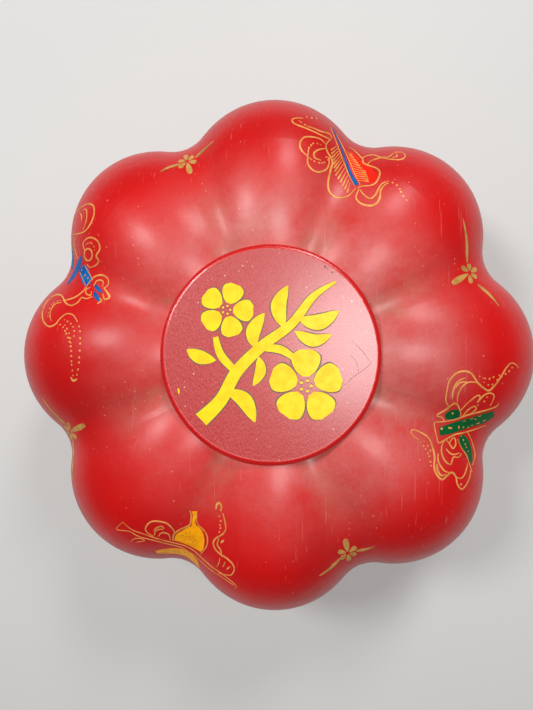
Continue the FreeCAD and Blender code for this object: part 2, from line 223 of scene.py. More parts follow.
class Effects:
    """Shader groups that more than one finish uses.  Each is built once."""

    def __init__(self) -> None:
        """Build every group."""
        self.specks = self.make_specks()
        self.scratches = self.make_scratches()
        self.peel = self.make_peel()
        self.grime = self.make_grime()

    @staticmethod
    def start(name: str, inputs: dict[str, float], outputs: tuple[str, ...]) -> tuple[Graph, object, object]:
        """Begin a group with float inputs and float outputs.

        Args:
            name: the group's name.
            inputs: the inputs' names and their values to start with.
            outputs: the outputs' names.

        Returns:
            Its graph, its input node and its output node.
        """
        tree = bpy.data.node_groups.new(name, "ShaderNodeTree")
        for label, value in inputs.items():
            socket = tree.interface.new_socket(label, in_out="INPUT", socket_type="NodeSocketFloat")
            socket.default_value = value
        for label in outputs:
            tree.interface.new_socket(label, in_out="OUTPUT", socket_type="NodeSocketFloat")
        graph = Graph(tree)
        return graph, graph.node("NodeGroupInput"), graph.node("NodeGroupOutput")

    def make_specks(self) -> bpy.types.NodeTree:
        """Small round specks, scattered unevenly: dust nibs, pits and paint flecks.

        Returns:
            The group.
        """
        graph, given, out = self.start("specks", {"Scale": 400.0, "Share": 0.2, "Size": 0.2}, ("Mask",))
        where = graph.place()
        cells = graph.node("ShaderNodeTexVoronoi", Vector=where, Scale=given.outputs["Scale"])
        chosen = graph.node("ShaderNodeSeparateColor", Color=cells.outputs["Color"])
        keep = graph.math("LESS_THAN", chosen.outputs[0], given.outputs["Share"])
        size = graph.times(given.outputs["Size"], graph.plus(chosen.outputs[1], 0.4))
        near = graph.minus(1.0, graph.math("DIVIDE", cells.outputs["Distance"], size), clamp=True)
        patchy = graph.ramp(graph.noise(where, 22.0, 2.0), 0.42, 0.62)
        mask = graph.times(graph.times(near, keep), patchy)
        graph.feed(out, "Mask", graph.times(mask, 2.0, clamp=True))
        return graph.tree

    def make_scratches(self) -> bpy.types.NodeTree:
        """Fine straight scratches in three directions, in patches.

        Returns:
            The group.
        """
        graph, given, out = self.start("scratches", {"Fineness": 1.0, "Share": 0.5}, ("Mask",))
        total = None
        for index, turn in enumerate((0.35, 1.3, 2.5)):
            where = graph.place((900, 14, 300), (0.2, 0.1, turn), (index * 0.31, 0.17, 0.05))
            scaled = graph.node("ShaderNodeVectorMath", operation="SCALE", Vector=where)
            graph.feed(scaled, "Scale", given.outputs["Fineness"])
            streak = graph.noise(scaled.outputs["Vector"], 1.0, 1.0)
            thin = graph.ramp(streak, 0.69, 0.74)
            patch = graph.ramp(graph.noise(graph.place(shift=(index, 0.4, 0.2)), 26.0, 2.0), 0.5, 0.66)
            mark = graph.times(thin, patch)
            total = mark if total is None else graph.math("MAXIMUM", total, mark)
        graph.feed(out, "Mask", graph.times(total, given.outputs["Share"], clamp=True))
        return graph.tree

    def make_peel(self) -> bpy.types.NodeTree:
        """Height of a hand-brushed lacquer skin: a soft waviness and a fine orange peel.

        Returns:
            The group.
        """
        graph, given, out = self.start("lacquer_skin", {"Wave": 1.0, "Peel": 1.0}, ("Height",))
        where = graph.place()
        wave = graph.times(graph.noise(where, 90.0, 2.0), given.outputs["Wave"])
        peel = graph.times(graph.noise(where, 620.0, 4.0, 0.72), given.outputs["Peel"])
        graph.feed(out, "Height", graph.plus(wave, graph.times(peel, 0.3)))
        return graph.tree

    def make_grime(self) -> bpy.types.NodeTree:
        """Old polish and dirt in the bottoms of the grooves, most of it beside the medallion.

        Returns:
            The group.
        """
        graph, given, out = self.start("groove_grime", {"Inner": 0.058, "Outer": 0.105, "Width": 0.35},
                                       ("Mask",))
        axes = graph.node("ShaderNodeSeparateXYZ", Vector=graph.place())
        turn = graph.math("ARCTAN2", axes.outputs[1], axes.outputs[0])
        away = graph.plus(graph.times(graph.math("COSINE", graph.times(turn, LOBES)), 0.5), 0.5)
        reach = graph.reach(axes)
        span = graph.minus(given.outputs["Outer"], given.outputs["Inner"])
        along = graph.math("DIVIDE", graph.minus(reach, given.outputs["Inner"]), span, clamp=True)
        groove = graph.minus(1.0, graph.math("DIVIDE", away, given.outputs["Width"]), clamp=True)
        fade = graph.minus(1.0, along, clamp=True)
        patchy = graph.ramp(graph.noise(graph.place(), 60.0, 4.0, 0.65), 0.3, 0.75)
        graph.feed(out, "Mask", graph.times(graph.times(groove, fade), patchy, clamp=True))
        return graph.tree


def shader(name: str, **constants: object) -> tuple[Graph, bpy.types.Node, bpy.types.Material]:
    """Start a material with one Principled shader.

    Args:
        name: the material's name.
        constants: inputs of the shader that are the same all over, with _ for a space.

    Returns:
        The graph, the shader node and the material.
    """
    material = bpy.data.materials.new(name)
    material.use_nodes = True
    graph = Graph(material.node_tree)
    principled = material.node_tree.nodes["Principled BSDF"]
    for label, value in constants.items():
        graph.feed(principled, label.replace("_", " "), value)
    return graph, principled, material


@dataclass(frozen=True)
class RedLacquer:
    """Red lacquer: a brushed skin with fine scratches, dust nibs, grime in the grooves and a milky bloom that
    is partly painted sheen.
    """

    red: tuple = (0.58, 0.0012, 0.0008, 1)
    deep: tuple = (0.46, 0.001, 0.0006, 1)
    inside: tuple = (0.018, 0.009, 0.008, 1)
    grime: tuple = (0.27, 0.17, 0.10, 1)
    # The milky colour stands partly for real bloom and partly for painted sheen.
    bloom: tuple = (0.58, 0.35, 0.31, 1)
    scratch: tuple = (0.85, 0.42, 0.34, 1)
    nib: tuple = (0.8, 0.45, 0.35, 1)
    wood: tuple = (0.13, 0.055, 0.03, 1)
    bloom_from: float = 0.128
    bloom_to: float = 0.070
    bloom_share: float = 0.52
    grime_share: float = 0.7
    scratch_share: float = 0.25
    nib_share: float = 0.38
    rough: float = 0.38
    seam: float = 0.072
    has_inside: bool = True

    def build(self, name: str, effects: Effects) -> bpy.types.Material:
        """Make the material.

        Args:
            name: the material's name.
            effects: the shared shader groups.

        Returns:
            The material.
        """
        graph, body, material = shader(name, Coat_Weight=0.34, Coat_Roughness=0.27, Coat_IOR=1.42,
                                       Specular_IOR_Level=0.26)
        where = graph.place()
        colour = graph.blend(graph.ramp(graph.noise(where, 9.0, 3.0), 0.35, 0.7), self.red, self.deep)
        # The milky colour is partly bloom and partly painted sheen.
        bloom = self.bloom_mask(graph, where)
        colour = graph.blend(graph.times(bloom, self.bloom_share), colour, self.bloom)
        grime = graph.group(effects.grime)
        colour = graph.blend(graph.times(grime, self.grime_share), colour, self.grime)
        scratch = graph.group(effects.scratches)
        nibs = graph.group(effects.specks)
        colour = graph.blend(graph.times(scratch, self.scratch_share), colour, self.scratch)
        colour = graph.blend(graph.times(nibs, self.nib_share), colour, self.nib)
        rough = graph.plus(self.rough, graph.times(graph.noise(where, 120.0, 3.0), 0.14))
        rough = graph.plus(rough, graph.times(grime, 0.25))
        rough = graph.plus(rough, graph.times(scratch, 0.2))
        if self.has_inside:
            colour = graph.blend(self.inside_mask(graph), colour, self.inside)
        else:
            rubbed = self.rubbed_mask(graph, where)
            colour = graph.blend(rubbed, colour, self.wood)
            rough = graph.plus(rough, graph.times(rubbed, 0.3))
        skin = graph.group(effects.peel)
        height = graph.minus(skin, graph.times(scratch, 0.15))
        graph.cover(body, colour, rough, height, 0.6, 0.0006)
        return material

    def bloom_mask(self, graph: Graph, where: bpy.types.NodeSocket) -> bpy.types.NodeSocket:
        """The milky bloom of handled lacquer, on the crown of the lid and fading down the lobes, mixed with
        painted sheen that is strongest towards +X and +Y, the lit side.

        Args:
            graph: the material's graph.
            where: Object coordinates.

        Returns:
            The mask.
        """
        axes = graph.node("ShaderNodeSeparateXYZ", Vector=where)
        reach = graph.reach(axes)
        inwards = graph.minus(1.0, graph.ramp(reach, self.bloom_to, self.bloom_from))
        above = graph.ramp(axes.outputs[2], self.seam + 0.020, self.seam + 0.055)
        cloudy = graph.ramp(graph.noise(where, 22.0, 6.0, 0.68), 0.12, 0.85)
        fine = graph.plus(0.75, graph.times(graph.noise(where, 420.0, 3.0, 0.7), 0.5))
        cover = graph.times(graph.times(inwards, above), graph.times(cloudy, fine))
        # Painted sheen: more of the milky colour towards +X and +Y, where the window and back lamps shine on
        # the lobes.
        toward_lit_side = graph.plus(graph.times(axes.outputs[0], 0.85), graph.times(axes.outputs[1], 0.5))
        lit_side_weight = graph.plus(0.36, graph.times(graph.ramp(toward_lit_side, -0.085, 0.045), 0.64))
        return graph.times(cover, lit_side_weight, clamp=True)

    @staticmethod
    def rubbed_mask(graph: Graph, where: bpy.types.NodeSocket) -> bpy.types.NodeSocket:
        """Where the foot's lower edge has rubbed through to the wood.

        Args:
            graph: the material's graph.
            where: Object coordinates.

        Returns:
            The mask.
        """
        height = graph.node("ShaderNodeSeparateXYZ", Vector=where).outputs[2]
        low = graph.minus(1.0, graph.ramp(height, 0.0004, 0.0030))
        return graph.times(low, graph.ramp(graph.noise(where, 130.0, 4.0, 0.65), 0.34, 0.52))

    def inside_mask(self, graph: Graph) -> bpy.types.NodeSocket:
        """1 where the surface faces the middle of the closed bowl, and 0 elsewhere.

        Args:
            graph: the material's graph.

        Returns:
            The mask.
        """
        from_middle = graph.place(shift=(0, 0, -self.seam))
        normal = graph.node("ShaderNodeNewGeometry").outputs["Normal"]
        facing = graph.node("ShaderNodeVectorMath", operation="DOT_PRODUCT")
        graph.feed(facing, "0", from_middle)
        graph.feed(facing, "1", normal)
        return graph.math("LESS_THAN", facing.outputs["Value"], 0.0)


@dataclass(frozen=True)
class MedallionLacquer:
    """The medallion's duller lacquer, wrinkled into a fine grain."""

    red: tuple = (0.45, 0.006, 0.004, 1)
    pale: tuple = (0.52, 0.05, 0.045, 1)
    edge: tuple = (0.56, 0.002, 0.001, 1)
    edge_start: float = 0.0580
    edge_fade: float = 0.0012
    nib: tuple = (0.8, 0.6, 0.5, 1)
    underside: tuple = (0.018, 0.009, 0.008, 1)

    def build(self, name: str, effects: Effects) -> bpy.types.Material:
        """Make the material.

        Args:
            name: the material's name.
            effects: the shared shader groups.

        Returns:
            The material.
        """
        graph, body, material = shader(name, Coat_Weight=0.85, Coat_Roughness=0.25, Specular_IOR_Level=0.5)
        warp = graph.noise(graph.place(), 60.0, 2.0)
        grain_at = graph.node("ShaderNodeVectorMath", operation="ADD")
        graph.feed(grain_at, "0", graph.place((1150, 560, 400)))
        graph.feed(grain_at, "1", graph.node("ShaderNodeCombineXYZ", X=graph.times(warp, 3.0)).outputs[0])
        grain = graph.noise(grain_at.outputs[0], 1.0, 3.0, 0.6)
        wrinkle = graph.ramp(grain, 0.3, 0.7)
        colour = graph.blend(graph.times(wrinkle, 0.5), self.red, self.pale)
        axes = graph.node("ShaderNodeSeparateXYZ", Vector=graph.place())
        reach = graph.reach(axes)
        edge = graph.ramp(reach, self.edge_start, self.edge_start + self.edge_fade)
        nibs = graph.group(effects.specks)
        colour = graph.blend(graph.times(nibs, 0.7), colour, self.nib)
        colour = graph.blend(edge, colour, self.edge)
        normal = graph.node("ShaderNodeSeparateXYZ",
                            Vector=graph.node("ShaderNodeNewGeometry").outputs["Normal"])
        colour = graph.blend(graph.math("LESS_THAN", normal.outputs[2], -0.5), colour, self.underside)
        rough = graph.plus(0.36, graph.times(wrinkle, 0.12))
        rough = graph.minus(rough, graph.times(edge, 0.12))
        calm = graph.times(grain, graph.minus(1.0, graph.times(edge, 0.8)))
        calm = graph.plus(calm, graph.times(edge, 0.7))
        graph.cover(body, colour, rough, calm, 0.9, 0.0006)
        return material


@dataclass(frozen=True)
class DarkLacquer:
    """Brown-black lacquer of the lining, the lip and the floor board."""

    dark: tuple = (0.018, 0.009, 0.008, 1)
    worn: tuple = (0.07, 0.025, 0.018, 1)

    def build(self, name: str, effects: Effects) -> bpy.types.Material:
        """Make the material.

        Args:
            name: the material's name.
            effects: the shared shader groups.

        Returns:
            The material.
        """
        graph, body, material = shader(name, Coat_Weight=0.4, Coat_Roughness=0.15, Coat_IOR=1.5)
        where = graph.place()
        colour = graph.blend(graph.ramp(graph.noise(where, 40.0, 4.0), 0.45, 0.75), self.dark, self.worn)
        skin = graph.group(effects.peel)
        rough = graph.plus(0.28, graph.times(graph.noise(where, 150.0), 0.14))
        graph.cover(body, colour, rough, skin, 0.3, 0.0002)
        return material


@dataclass(frozen=True)
class Paint:
    """A brushed paint or gold line over the lacquer, a little uneven in colour and in sheen."""

    name: str
    bright: tuple
    dull: tuple
    metal: float = 0.0
    rough: float = 0.42

    def build(self, effects: Effects) -> bpy.types.Material:
        """Make the material.

        Args:
            effects: the shared shader groups.

        Returns:
            The material.
        """
        graph, body, material = shader(self.name, Metallic=self.metal, Specular_IOR_Level=0.22,
                                       Coat_Weight=0.05, Coat_Roughness=0.25)
        where = graph.place()
        patches = graph.ramp(graph.noise(where, 160.0, 4.0, 0.65), 0.38, 0.68)
        colour = graph.blend(patches, self.bright, self.dull)
        nibs = graph.group(effects.specks)
        colour = graph.blend(graph.times(nibs, 0.5), colour, self.dull)
        streaks = graph.noise(graph.place((900, 300, 700)), 1.0, 2.0)
        rough = graph.plus(self.rough, graph.times(patches, 0.12))
        graph.cover(body, colour, rough, streaks, 0.4, 0.0001)
        return material


PAINTS = {
    Slot.YELLOW: Paint("yellow_paint", (0.90, 0.66, 0.0, 1), (0.84, 0.55, 0.0, 1)),
    Slot.GOLD: Paint("gold_paint", (0.86, 0.40, 0.11, 1), (0.60, 0.23, 0.05, 1), metal=0.2),
    Slot.LEAF: Paint("leaf_paint", (0.62, 0.34, 0.09, 1), (0.40, 0.20, 0.05, 1), metal=0.2),
    Slot.BLUE: Paint("blue_paint", (0.0, 0.07, 0.27, 1), (0.0, 0.12, 0.38, 1)),
    Slot.GREEN: Paint("green_paint", (0.0, 0.105, 0.022, 1), (0.0, 0.07, 0.018, 1)),
    Slot.AMBER: Paint("amber_paint", (0.98, 0.40, 0.0, 1), (0.80, 0.29, 0.0, 1)),
}


# ---------------------------------------------------------------- painted strokes


@dataclass(frozen=True)
class Stroke:
    """One brush stroke: the points of its middle line in millimetres, and how wide the brush was pressed.

    Each point is (outward from the bowl's middle, sideways).  The pressures are shares of the width, spread
    evenly from the first point to the last.  Dashes, if any, is how many pieces the stroke is broken into.
    """

    points: tuple[Point, ...]
    width: float = 0.95
    pressures: tuple[float, ...] = (0.55, 1.0, 1.0, 0.55)
    dashes: int = 0
    closed: bool = False

    FAINTEST = 0.05  # the least pressure, as a share of the width
    DASH = 0.66  # how much of a dash's room is painted

    @staticmethod
    def weights(t: float) -> tuple[float, float, float, float]:
        """How much each of four values in a row counts, a share t of the way from the second to the third."""
        return (-t + 2 * t**2 - t**3, 2 - 5 * t**2 + 3 * t**3, t + 4 * t**2 - 3 * t**3, t**3 - t**2)

    def path(self, step: float) -> list[Point]:
        """Points along a smooth curve through the stroke's own points.

        Args:
            step: the distance between them, in millimetres.

        Returns:
            The points.
        """
        ends = self.points
        if self.closed:
            ends = (ends[-1], *ends, ends[0], ends[1])
        else:
            ends = (ends[0], *ends, ends[-1])
        smooth: list[Point] = []
        for a, b, c, d in zip(ends, ends[1:], ends[2:], ends[3:]):
            count = max(2, math.ceil(math.dist(b, c) / step))
            for index in range(count):
                weighed = tuple(zip(self.weights(index / count), (a, b, c, d)))
                smooth.append(tuple(sum(w * p[axis] for w, p in weighed) / 2 for axis in (0, 1)))
        if not self.closed:
            smooth.append(ends[-2])
        return smooth

    def pieces(self, step: float) -> list[list[tuple[float, float, float]]]:
        """The stroke as runs of (outward, sideways, half width), one for each dash.

        Args:
            step: the distance between the points of a run, in millimetres.

        Returns:
            The runs.
        """
        path = self.path(step)
        count = len(path)
        full = []
        for index, point in enumerate(path):
            place = index / max(1, count - 1) * (len(self.pressures) - 1)
            low = min(int(place), len(self.pressures) - 2)
            last = len(self.pressures) - 1
            ends = [self.pressures[max(0, min(at, last))] for at in range(low - 1, low + 3)]
            press = sum(w * p for w, p in zip(self.weights(place - low), ends)) / 2
            full.append((*point, max(press, self.FAINTEST) * self.width / 2))
        if not self.dashes:
            return [full]
        runs = []
        for index in range(self.dashes):
            first = round(index * count / self.dashes)
            last = first + max(2, round(self.DASH * count / self.dashes))
            runs.append(full[first:last])
        return [run for run in runs if len(run) > 1]


def dot(outward: float, sideways: float, width: float = 1.3) -> Stroke:
    """A round dot of paint."""
    reach = width * 0.42
    return Stroke(((outward - reach, sideways), (outward, sideways), (outward + reach, sideways)), width,
                  (0.45, 1.0, 0.45))


def ring(outward: float, sideways: float, radius: float, width: float = 0.9, dashes: int = 0) -> Stroke:
    """A painted circle.

    Args:
        outward: its middle, outward.
        sideways: its middle, sideways.
        radius: its radius.
        width: the brush's width.
        dashes: how many pieces it is broken into, if any.

    Returns:
        Its stroke.
    """
    corners = 8
    angles = [index * math.tau / corners for index in range(corners)]
    around = tuple((outward + radius * math.cos(a), sideways + radius * math.sin(a)) for a in angles)
    return Stroke(around, width, (1.0, 1.0), dashes, closed=True)


def between(first: tuple[Point, Point], last: tuple[Point, Point], count: int, width: float) -> list[Stroke]:
    """Ribs of paint with a blob on the end of each, spaced evenly from the first rib to the last.

    Args:
        first: the root and the tip of the first rib.
        last: those of the last rib.
        count: how many ribs.
        width: the brush's width.

    Returns:
        The ribs.
    """
    ribs = []
    for index in range(count):
        share = index / (count - 1)
        root, tip = (tuple(a + (b - a) * share for a, b in zip(p, q)) for p, q in zip(first, last))
        ribs.append(Stroke((root, tip), width, (0.4, 0.6, 0.75, 1.5, 1.2)))
    return ribs


class Brush:
    """Lays strokes on the lid as thin raised skins of paint."""

    STEP = 1.0  # between the points along a stroke, in millimetres
    SINK = 0.05  # how deep the paint's underside lies, in millimetres
    LIGHTEST = 0.7  # the thinnest load of paint, as a share of the full one
    SPREAD = 0.618  # the step between the loads of two strokes in a row, which keeps them all different
    ABOVE = 0.16  # the height that strokes are dropped from, in metres
    SMOOTH = 40  # the angle between faces that are still shaded smooth, in degrees

    def __init__(self, lid: bpy.types.Object) -> None:
        """Keep the surface that is painted."""
        self.lid = lid

    @staticmethod
    def profile(segments: int) -> bpy.types.Object:
        """A straight line across the brush, from -1 to 1.

        Args:
            segments: strips across the brush.

        Returns:
            The line.
        """
        data = bpy.data.curves.new("brush_profile", "CURVE")
        data.dimensions = "3D"
        line = data.splines.new("POLY")
        line.points.add(segments)
        for index, point in enumerate(line.points):
            point.co = (2 * index / segments - 1, 0, 0, 1)
        made = bpy.data.objects.new("brush_profile", data)
        bpy.context.scene.collection.objects.link(made)
        return made

    def sheet(self, name: str, strokes: list[Stroke], turn: float, segments: int) -> bpy.types.Object:
        """Flat ribbons for the strokes, above the lid.

        The load of paint differs from stroke to stroke, so strokes that cross stand at different heights.

        Args:
            name: the piece's name.
            strokes: what to paint.
            turn: the angle of the strokes' outward axis about the bowl's middle, in degrees.
            segments: strips across each stroke.

        Returns:
            The ribbons, with the loads as a vertex group.
        """
        profile = self.profile(segments)
        data = bpy.data.curves.new(name, "CURVE")
        data.dimensions, data.twist_mode = "3D", "Z_UP"
        data.bevel_mode, data.bevel_object = "OBJECT", profile
        spin = Matrix.Rotation(math.radians(turn), 2)
        loads: list[float] = []
        for number, stroke in enumerate(strokes):
            load = 1 - (1 - self.LIGHTEST) * (number * self.SPREAD % 1)
            for run in stroke.pieces(self.STEP):
                loads += [load] * (len(run) * (segments + 1))
                spline = data.splines.new("POLY")
                spline.use_cyclic_u = stroke.closed and not stroke.dashes
                spline.points.add(len(run) - 1)
                for point, (outward, sideways, half) in zip(spline.points, run):
                    x, y = spin @ Vector((outward * MM, sideways * MM))
                    point.co = (x, y, self.ABOVE, 1)
                    point.radius = half * MM
        made = bpy.data.objects.new(name, data)
        bpy.context.scene.collection.objects.link(made)
        activate(made)
        bpy.ops.object.convert(target="MESH")
        made = bpy.context.object
        bpy.data.objects.remove(profile)
        if made.data.polygons[0].normal.z < 0:
            bpy.ops.object.mode_set(mode="EDIT")
            bpy.ops.mesh.select_all(action="SELECT")
            bpy.ops.mesh.flip_normals()
            bpy.ops.object.mode_set(mode="OBJECT")
        group = made.vertex_groups.new(name="load")
        for vertex, load in zip(made.data.vertices, loads, strict=True):
            group.add([vertex.index], load, "REPLACE")
        return made

    def paint(self, name: str, strokes: list[Stroke], turn: float, finish: bpy.types.Material, slot: Slot,
              height: float = 0.2, segments: int = 2, surface: Surface = None) -> bpy.types.Object:
        """Paint strokes on the lid.

        Args:
            name: the piece's name.
            strokes: what to paint.
            turn: the angle of the strokes' outward axis, in degrees.
            finish: the paint's material.
            slot: the record's slot that it stands for; not used.
            height: how far the paint stands above the lid, in millimetres.
            segments: strips across each stroke.
            surface: the node that is painted, if it isn't the lid's shell.

        Returns:
            The finished piece.
        """
        made = self.sheet(name, strokes, turn, segments)
        wrap = made.modifiers.new("drape", "SHRINKWRAP")
        wrap.wrap_method, wrap.target = "PROJECT", surface or self.lid
        wrap.use_project_z, wrap.use_negative_direction, wrap.use_positive_direction = True, True, False
        wrap.offset = -self.SINK * MM
        skin = made.modifiers.new("skin", "SOLIDIFY")
        skin.thickness, skin.offset = (height + self.SINK) * MM, 1.0
        skin.vertex_group = "load"
        for modifier in ("drape", "skin"):
            bpy.ops.object.modifier_apply(modifier=modifier)
        made.data.materials.clear()
        made.data.materials.append(finish)
        bpy.ops.object.shade_smooth_by_angle(angle=math.radians(self.SMOOTH))
        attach(made, "lid")
        top = max(vertex.co.z for vertex in made.data.vertices)
        LOG.info("%s: %d faces, highest point %.4f m", name, len(made.data.polygons), top)
        return made


def activate(piece: bpy.types.Object) -> None:
    """Make one object the only selected one, and the active one."""
    bpy.ops.object.select_all(action="DESELECT")
    piece.select_set(True)
    bpy.context.view_layer.objects.active = piece


# ---------------------------------------------------------------- the emblems in the grooves
#
# The points of the next four emblems aren't an example to follow.  Another program wrote most of them, as
# places on the lid rounded to half a millimetre.  They still wait to be drawn by hand, with few points, arcs
# and loops.


@dataclass
class Emblem:
    """A painted emblem that lies across one groove of the lid."""

    turn: float

    def line(self, *points: Point, width: float = 0.95, dashes: int = 0) -> Stroke:
        """A gold line with soft ends."""
        return Stroke(points, width, dashes=dashes)


@dataclass
class FeatherFan(Emblem):
    """A feather fan with a blue handle, between two ribbons."""

    turn: float = groove(1)

    def handle(self) -> list[Stroke]:
        """The blue handle, thin at the rim."""
        return [Stroke(((140, 18.5), (131, 10.5), (122, 3.5), (113.5, -3.5), (108.5, -8.5)), 2.3,
                       (0.25, 0.38, 0.5, 0.8, 1.0))]

    def feather(self) -> list[Stroke]:
        """The scarlet half of the fan."""
        return [Stroke(((130, 3), (123.5, -2.5), (118.5, -7.5), (116, -12.5), (116, -17)), 11.5,
                       (0.05, 0.45, 0.85, 1.0, 0.9, 0.45))]

    def outline(self) -> list[Stroke]:
        """The fan's two leaves and its ribs."""
        line = self.line
        return [
            line((106, -8.5), (100.5, -6.5), (97.5, -2.5), (97, 1), (99, 5), (104, 7.5), (112, 9), (117, 10),
                 (121, 15), (124.5, 17), (129.5, 16.5), width=1.05),
            line((106.5, -9.5), (108.5, -11.5), (110, -15.5), (113, -18), (119.5, -18), (122.5, -15),
                 (124.5, -7), (127.5, -5.5), (132.5, 1.5), (133, 5), width=0.95),
            line((139, 19.5), (130, 12), (121, 4.5), (112.5, -2.5), (106.5, -8.5), width=0.5),
            line((138, 16.5), (131.5, 9), (123.5, 2), (115.5, -4.5), (109, -10), (106, -9.5), width=0.5),
            *between(((128, 11.5), (123, 13.5)), ((121, 5), (111.5, 6.5)), 7, 0.6),
            *between(((119.5, 3.5), (109.5, 5)), ((108.5, -4.5), (102, -5)), 6, 0.62),
            *between(((128.5, 5), (127.5, 1)), ((120, -1), (120.5, -7.5)), 6, 0.6),
            *between(((118.5, -2.5), (119, -10)), ((111.5, -8), (112.5, -14)), 6, 0.62),
        ]

    def ribbons(self) -> list[Stroke]:
        """The ribbons that loop on both sides of the fan."""
        line = self.line
        return [
            line((131.5, 16), (133.5, 18), (131.5, 23), (131, 27), (130, 31.5), width=0.85),
            line((130, 16), (129, 21.5), (128.5, 28), (128, 34), (128, 38.5), (130, 40.5), (132.5, 39),
                 (134.5, 35.5)),
            line((131.5, 37), (130.5, 34), (130, 30), dashes=4),
            line((137, 34.5), (138.5, 31), (140.5, 28), width=1.3, dashes=3),
            line((125, 17.5), (126, 21.5), (124.5, 26), (122, 29.5), (118.5, 30.5), (116, 30), (113.5, 28),
                 (112, 24.5), (111, 21)),
            line((117.5, 25), (112, 23.5), (107.5, 21.5), (105.5, 18), (106, 14.5), (109.5, 11.5),
                 (113.5, 11), (117.5, 12.5), (117, 14.5)),
            line((122, 16.5), (119, 19.5), (115.5, 21), (113, 19.5), (113.5, 16)),
            line((117, 24.5), (120.5, 24), (122, 22), (122.5, 19.5), dashes=5),
            line((111, 21), (111, 17.5), (113, 14), (116.5, 12.5), dashes=6),
            line((125, -6.5), (129, -5.5), (133, -10), (131.5, -15.5), (131.5, -20.5), (133, -26), (137, -28),
                 (140, -25.5), (138.5, -21), width=0.85),
            line((124.5, -9.5), (128, -11), (131.5, -15.5), (133, -19), (137, -21), width=0.85),
            line((137.5, -22.5), (135, -23.5), (133, -21), width=0.7),
            line((106, -11), (103.5, -14), (102, -18), (104.5, -20), (108.5, -20.5), (112.5, -21),
                 (115, -23)),
            line((106, -10.5), (101.5, -10.5), (99, -12), (97.5, -15.5), (98, -20), (100.5, -22.5),
                 (104.5, -23), (109, -22), (113, -23), (114.5, -24.5), width=1.1),
            line((115.5, -23.5), (115.5, -27), (114, -30.5), (110.5, -33.5), (107.5, -38), dashes=7),
        ]

    def build(self, brush: Brush, paints: dict[Slot, bpy.types.Material],
              scarlet: bpy.types.Material) -> None:
        """Paint the fan."""
        brush.paint("fan_feather", self.feather(), self.turn, scarlet, Slot.RED, height=0.05, segments=6)
        brush.paint("fan_handle", self.handle(), self.turn, paints[Slot.BLUE], Slot.BLUE, height=0.18,
                    segments=4)
        brush.paint("fan_gold", self.outline() + self.ribbons(), self.turn, paints[Slot.GOLD], Slot.GOLD)


